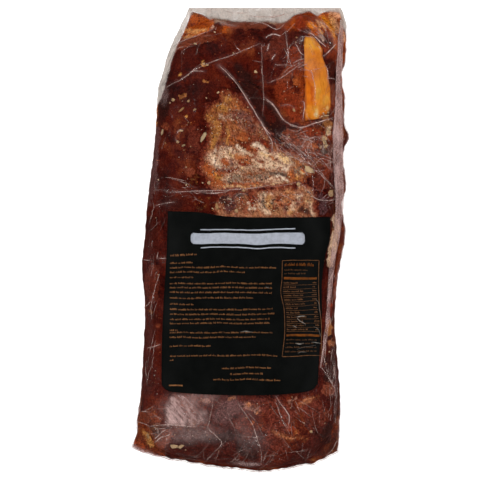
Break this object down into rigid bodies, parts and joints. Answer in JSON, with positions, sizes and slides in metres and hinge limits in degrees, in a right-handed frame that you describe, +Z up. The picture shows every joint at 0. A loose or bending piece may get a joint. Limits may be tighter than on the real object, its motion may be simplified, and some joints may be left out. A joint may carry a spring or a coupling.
{
  "type": "vacuum-sealed beef pot roast",
  "caption": "Beef pot roast sealed in a tight clear bag with its juices, with a flat header, wavy seams, pointed foot corners and a plain black label.",
  "frame": {"origin": "on the surface the pack lies on, under the middle of its bounding box", "axes": "+Z up through the labelled side, +Y along the pack towards the flat header, +X to the right as the label is seen from above"},
  "size_m": [0.1782, 0.38, 0.0769],
  "materials": {
    "sealed_roast": "dark red-brown roast and its juices seen through tight glossy film",
    "roast_meat": "moist cooked meat, mottled from near black to tan, with a spiced crust",
    "roast_fat": "waxy orange and cream fat, satin",
    "roast_juice": "amber jellied juice, clear and glossy",
    "spice_flakes": "onion, herb and spice flakes, matt",
    "bag_film": "clear wrinkled film, glossy, whitish along seams and creases",
    "label_sheet": "black satin sticker that follows the film",
    "label_print": "flat copper-brown and pale ink"
  },
  "bodies": {
    "root": {"pack": "sealed_roast", "label": "label_sheet"}
  },
  "joints": []
}
